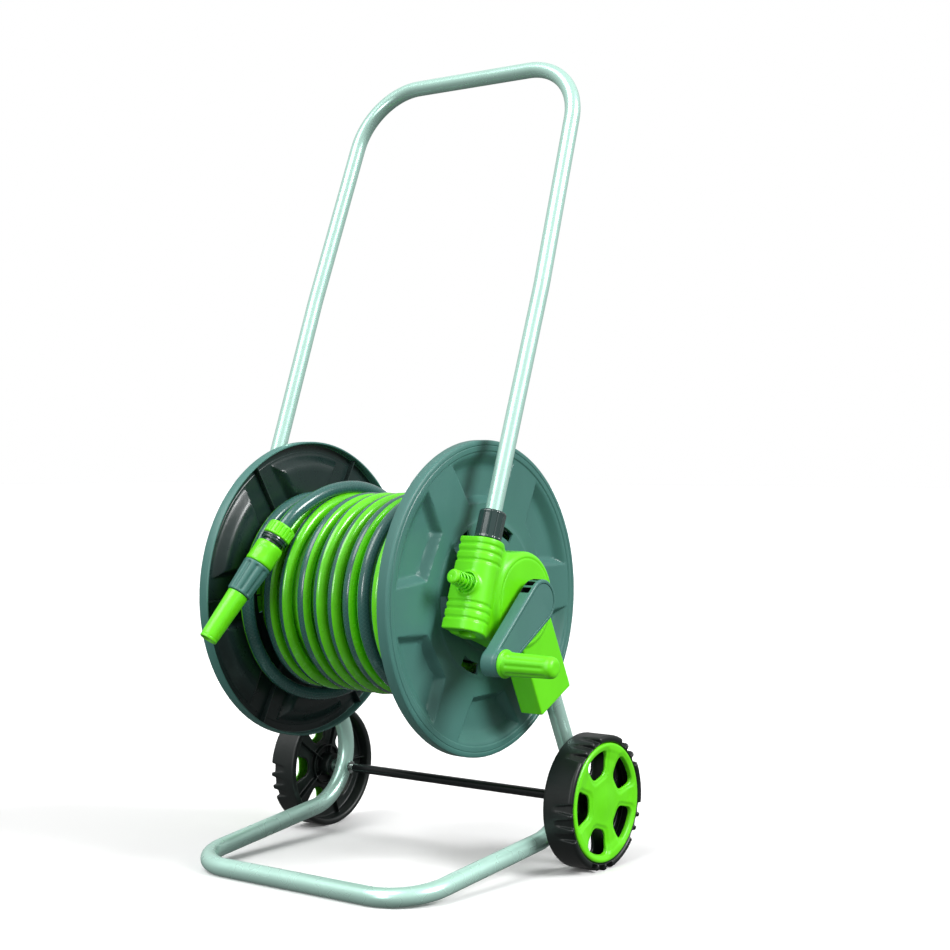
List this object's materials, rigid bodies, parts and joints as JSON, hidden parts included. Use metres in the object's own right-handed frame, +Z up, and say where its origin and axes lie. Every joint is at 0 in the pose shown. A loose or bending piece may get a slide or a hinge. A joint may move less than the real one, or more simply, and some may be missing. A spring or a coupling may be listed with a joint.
{
  "type": "garden hose reel cart",
  "caption": "Wheeled tube-frame cart with a cranked reel of two-tone garden hose, spray nozzle and telescopic bow handle.",
  "frame": {"origin": "on the ground, in the middle of the cart's footprint box, below the reel axis", "axes": "+X along the reel axis towards the crank, -Y the front with the low bar, +Y the back with the wheels, +Z up"},
  "size_m": [0.551, 0.4201, 1.0171],
  "materials": {
    "silver_tube": "satin silver lacquer on steel tube",
    "steel": "zinc-plated steel",
    "green_plastic": "moulded lime green plastic",
    "grey_plastic": "moulded blue-grey plastic, fine grain",
    "dark_plastic": "moulded near-black plastic",
    "collar_plastic": "moulded dark grey plastic",
    "bearing_plastic": "natural bearing plastic",
    "hose_rubber": "two-tone hose, half green and half grey along its length",
    "seal_rubber": "black seal rubber"
  },
  "bodies": {
    "frame": {"base_tube": "silver_tube", "axle": "steel", "axle_sleeve": "dark_plastic", "axle_washers": "steel", "push_nuts": "steel", "tube_screws": "steel", "cover_screws": "steel", "right_bracket": "green_plastic", "left_bracket": "green_plastic", "right_bracket_cover": "green_plastic", "left_bracket_cover": "green_plastic", "right_bush": "bearing_plastic", "left_bush": "bearing_plastic", "inlet_fitting": "green_plastic", "inlet_orings": "seal_rubber", "right_pin_spring": "green_plastic", "left_pin_spring": "green_plastic"},
    "handle": {"handle_bow": "silver_tube", "right_stem": "silver_tube", "left_stem": "silver_tube", "stem_plugs": "dark_plastic"},
    "right_collar": {"right_collar": "collar_plastic"},
    "left_collar": {"left_collar": "collar_plastic"},
    "right_lock_pin": {"right_lock_pin": "green_plastic"},
    "left_lock_pin": {"left_lock_pin": "green_plastic"},
    "reel": {"right_flange": "grey_plastic", "left_flange": "grey_plastic", "drum_core": "grey_plastic", "flange_screws": "steel", "crank_shaft": "grey_plastic", "water_stub": "grey_plastic", "crank_arm": "grey_plastic", "crank_cover": "grey_plastic", "crank_screw": "steel", "crank_pin": "steel", "hose_pack": "hose_rubber", "hose_tail": "hose_rubber", "connector_nut": "green_plastic", "connector_ring": "collar_plastic", "connector_body": "collar_plastic"},
    "crank_grip": {"crank_grip": "green_plastic"},
    "right_wheel": {"right_wheel": "dark_plastic", "right_wheel_cap": "green_plastic"},
    "left_wheel": {"left_wheel": "dark_plastic", "left_wheel_cap": "green_plastic"},
    "connector_sleeve": {"connector_sleeve": "green_plastic"},
    "nozzle": {"nozzle_body": "grey_plastic"},
    "nozzle_barrel": {"nozzle_barrel": "green_plastic"}
  },
  "joints": [
    {"name": "handle_slide", "type": "slide", "parent": "frame", "child": "handle", "axis": [0, 0.342, 0.9397], "range_m": [-0.24, 0]},
    {"name": "right_collar_twist", "type": "hinge", "parent": "frame", "child": "right_collar", "pos_m": [0.1545, -0.0444, 0.42452], "axis": [0, 0.342, 0.9397], "range_deg": [0, 90]},
    {"name": "right_pin_press", "type": "slide", "parent": "frame", "child": "right_lock_pin", "axis": [0, 0.9397, -0.342], "range_m": [0, 0.004], "stiffness_N_per_m": 600, "springref_m": -0.003, "deforming": ["right_pin_spring"]},
    {"name": "right_wheel_turn", "type": "hinge", "parent": "frame", "child": "right_wheel", "pos_m": [0.1925, 0.118, 0.0825], "axis": [1, 0, 0], "continuous": true},
    {"name": "left_collar_twist", "type": "hinge", "parent": "frame", "child": "left_collar", "pos_m": [-0.2135, -0.0444, 0.42452], "axis": [0, 0.342, 0.9397], "range_deg": [0, 90]},
    {"name": "left_pin_press", "type": "slide", "parent": "frame", "child": "left_lock_pin", "axis": [0, 0.9397, -0.342], "range_m": [0, 0.004], "stiffness_N_per_m": 600, "springref_m": -0.003, "deforming": ["left_pin_spring"]},
    {"name": "left_wheel_turn", "type": "hinge", "parent": "frame", "child": "left_wheel", "pos_m": [-0.2515, 0.118, 0.0825], "axis": [1, 0, 0], "continuous": true},
    {"name": "reel_turn", "type": "hinge", "parent": "frame", "child": "reel", "pos_m": [-0.0295, 0, 0.336], "axis": [1, 0, 0], "continuous": true},
    {"name": "grip_turn", "type": "hinge", "parent": "reel", "child": "crank_grip", "pos_m": [0.2395, -0.08682, 0.27176], "axis": [1, 0, 0], "continuous": true},
    {"name": "sleeve_slide", "type": "slide", "parent": "reel", "child": "connector_sleeve", "axis": [0.1932, 0.5779, 0.7929], "range_m": [0, 0.004], "stiffness_N_per_m": 800, "springref_m": -0.003},
    {"name": "nozzle_swivel", "type": "hinge", "parent": "reel", "child": "nozzle", "pos_m": [-0.1075, -0.115, 0.4203], "axis": [-0.1932, -0.5779, -0.7929], "continuous": true},
    {"name": "barrel_twist", "type": "hinge", "parent": "nozzle", "child": "nozzle_barrel", "pos_m": [-0.1075, -0.115, 0.4203], "axis": [-0.1932, -0.5779, -0.7929], "range_deg": [0, 270]}
  ]
}
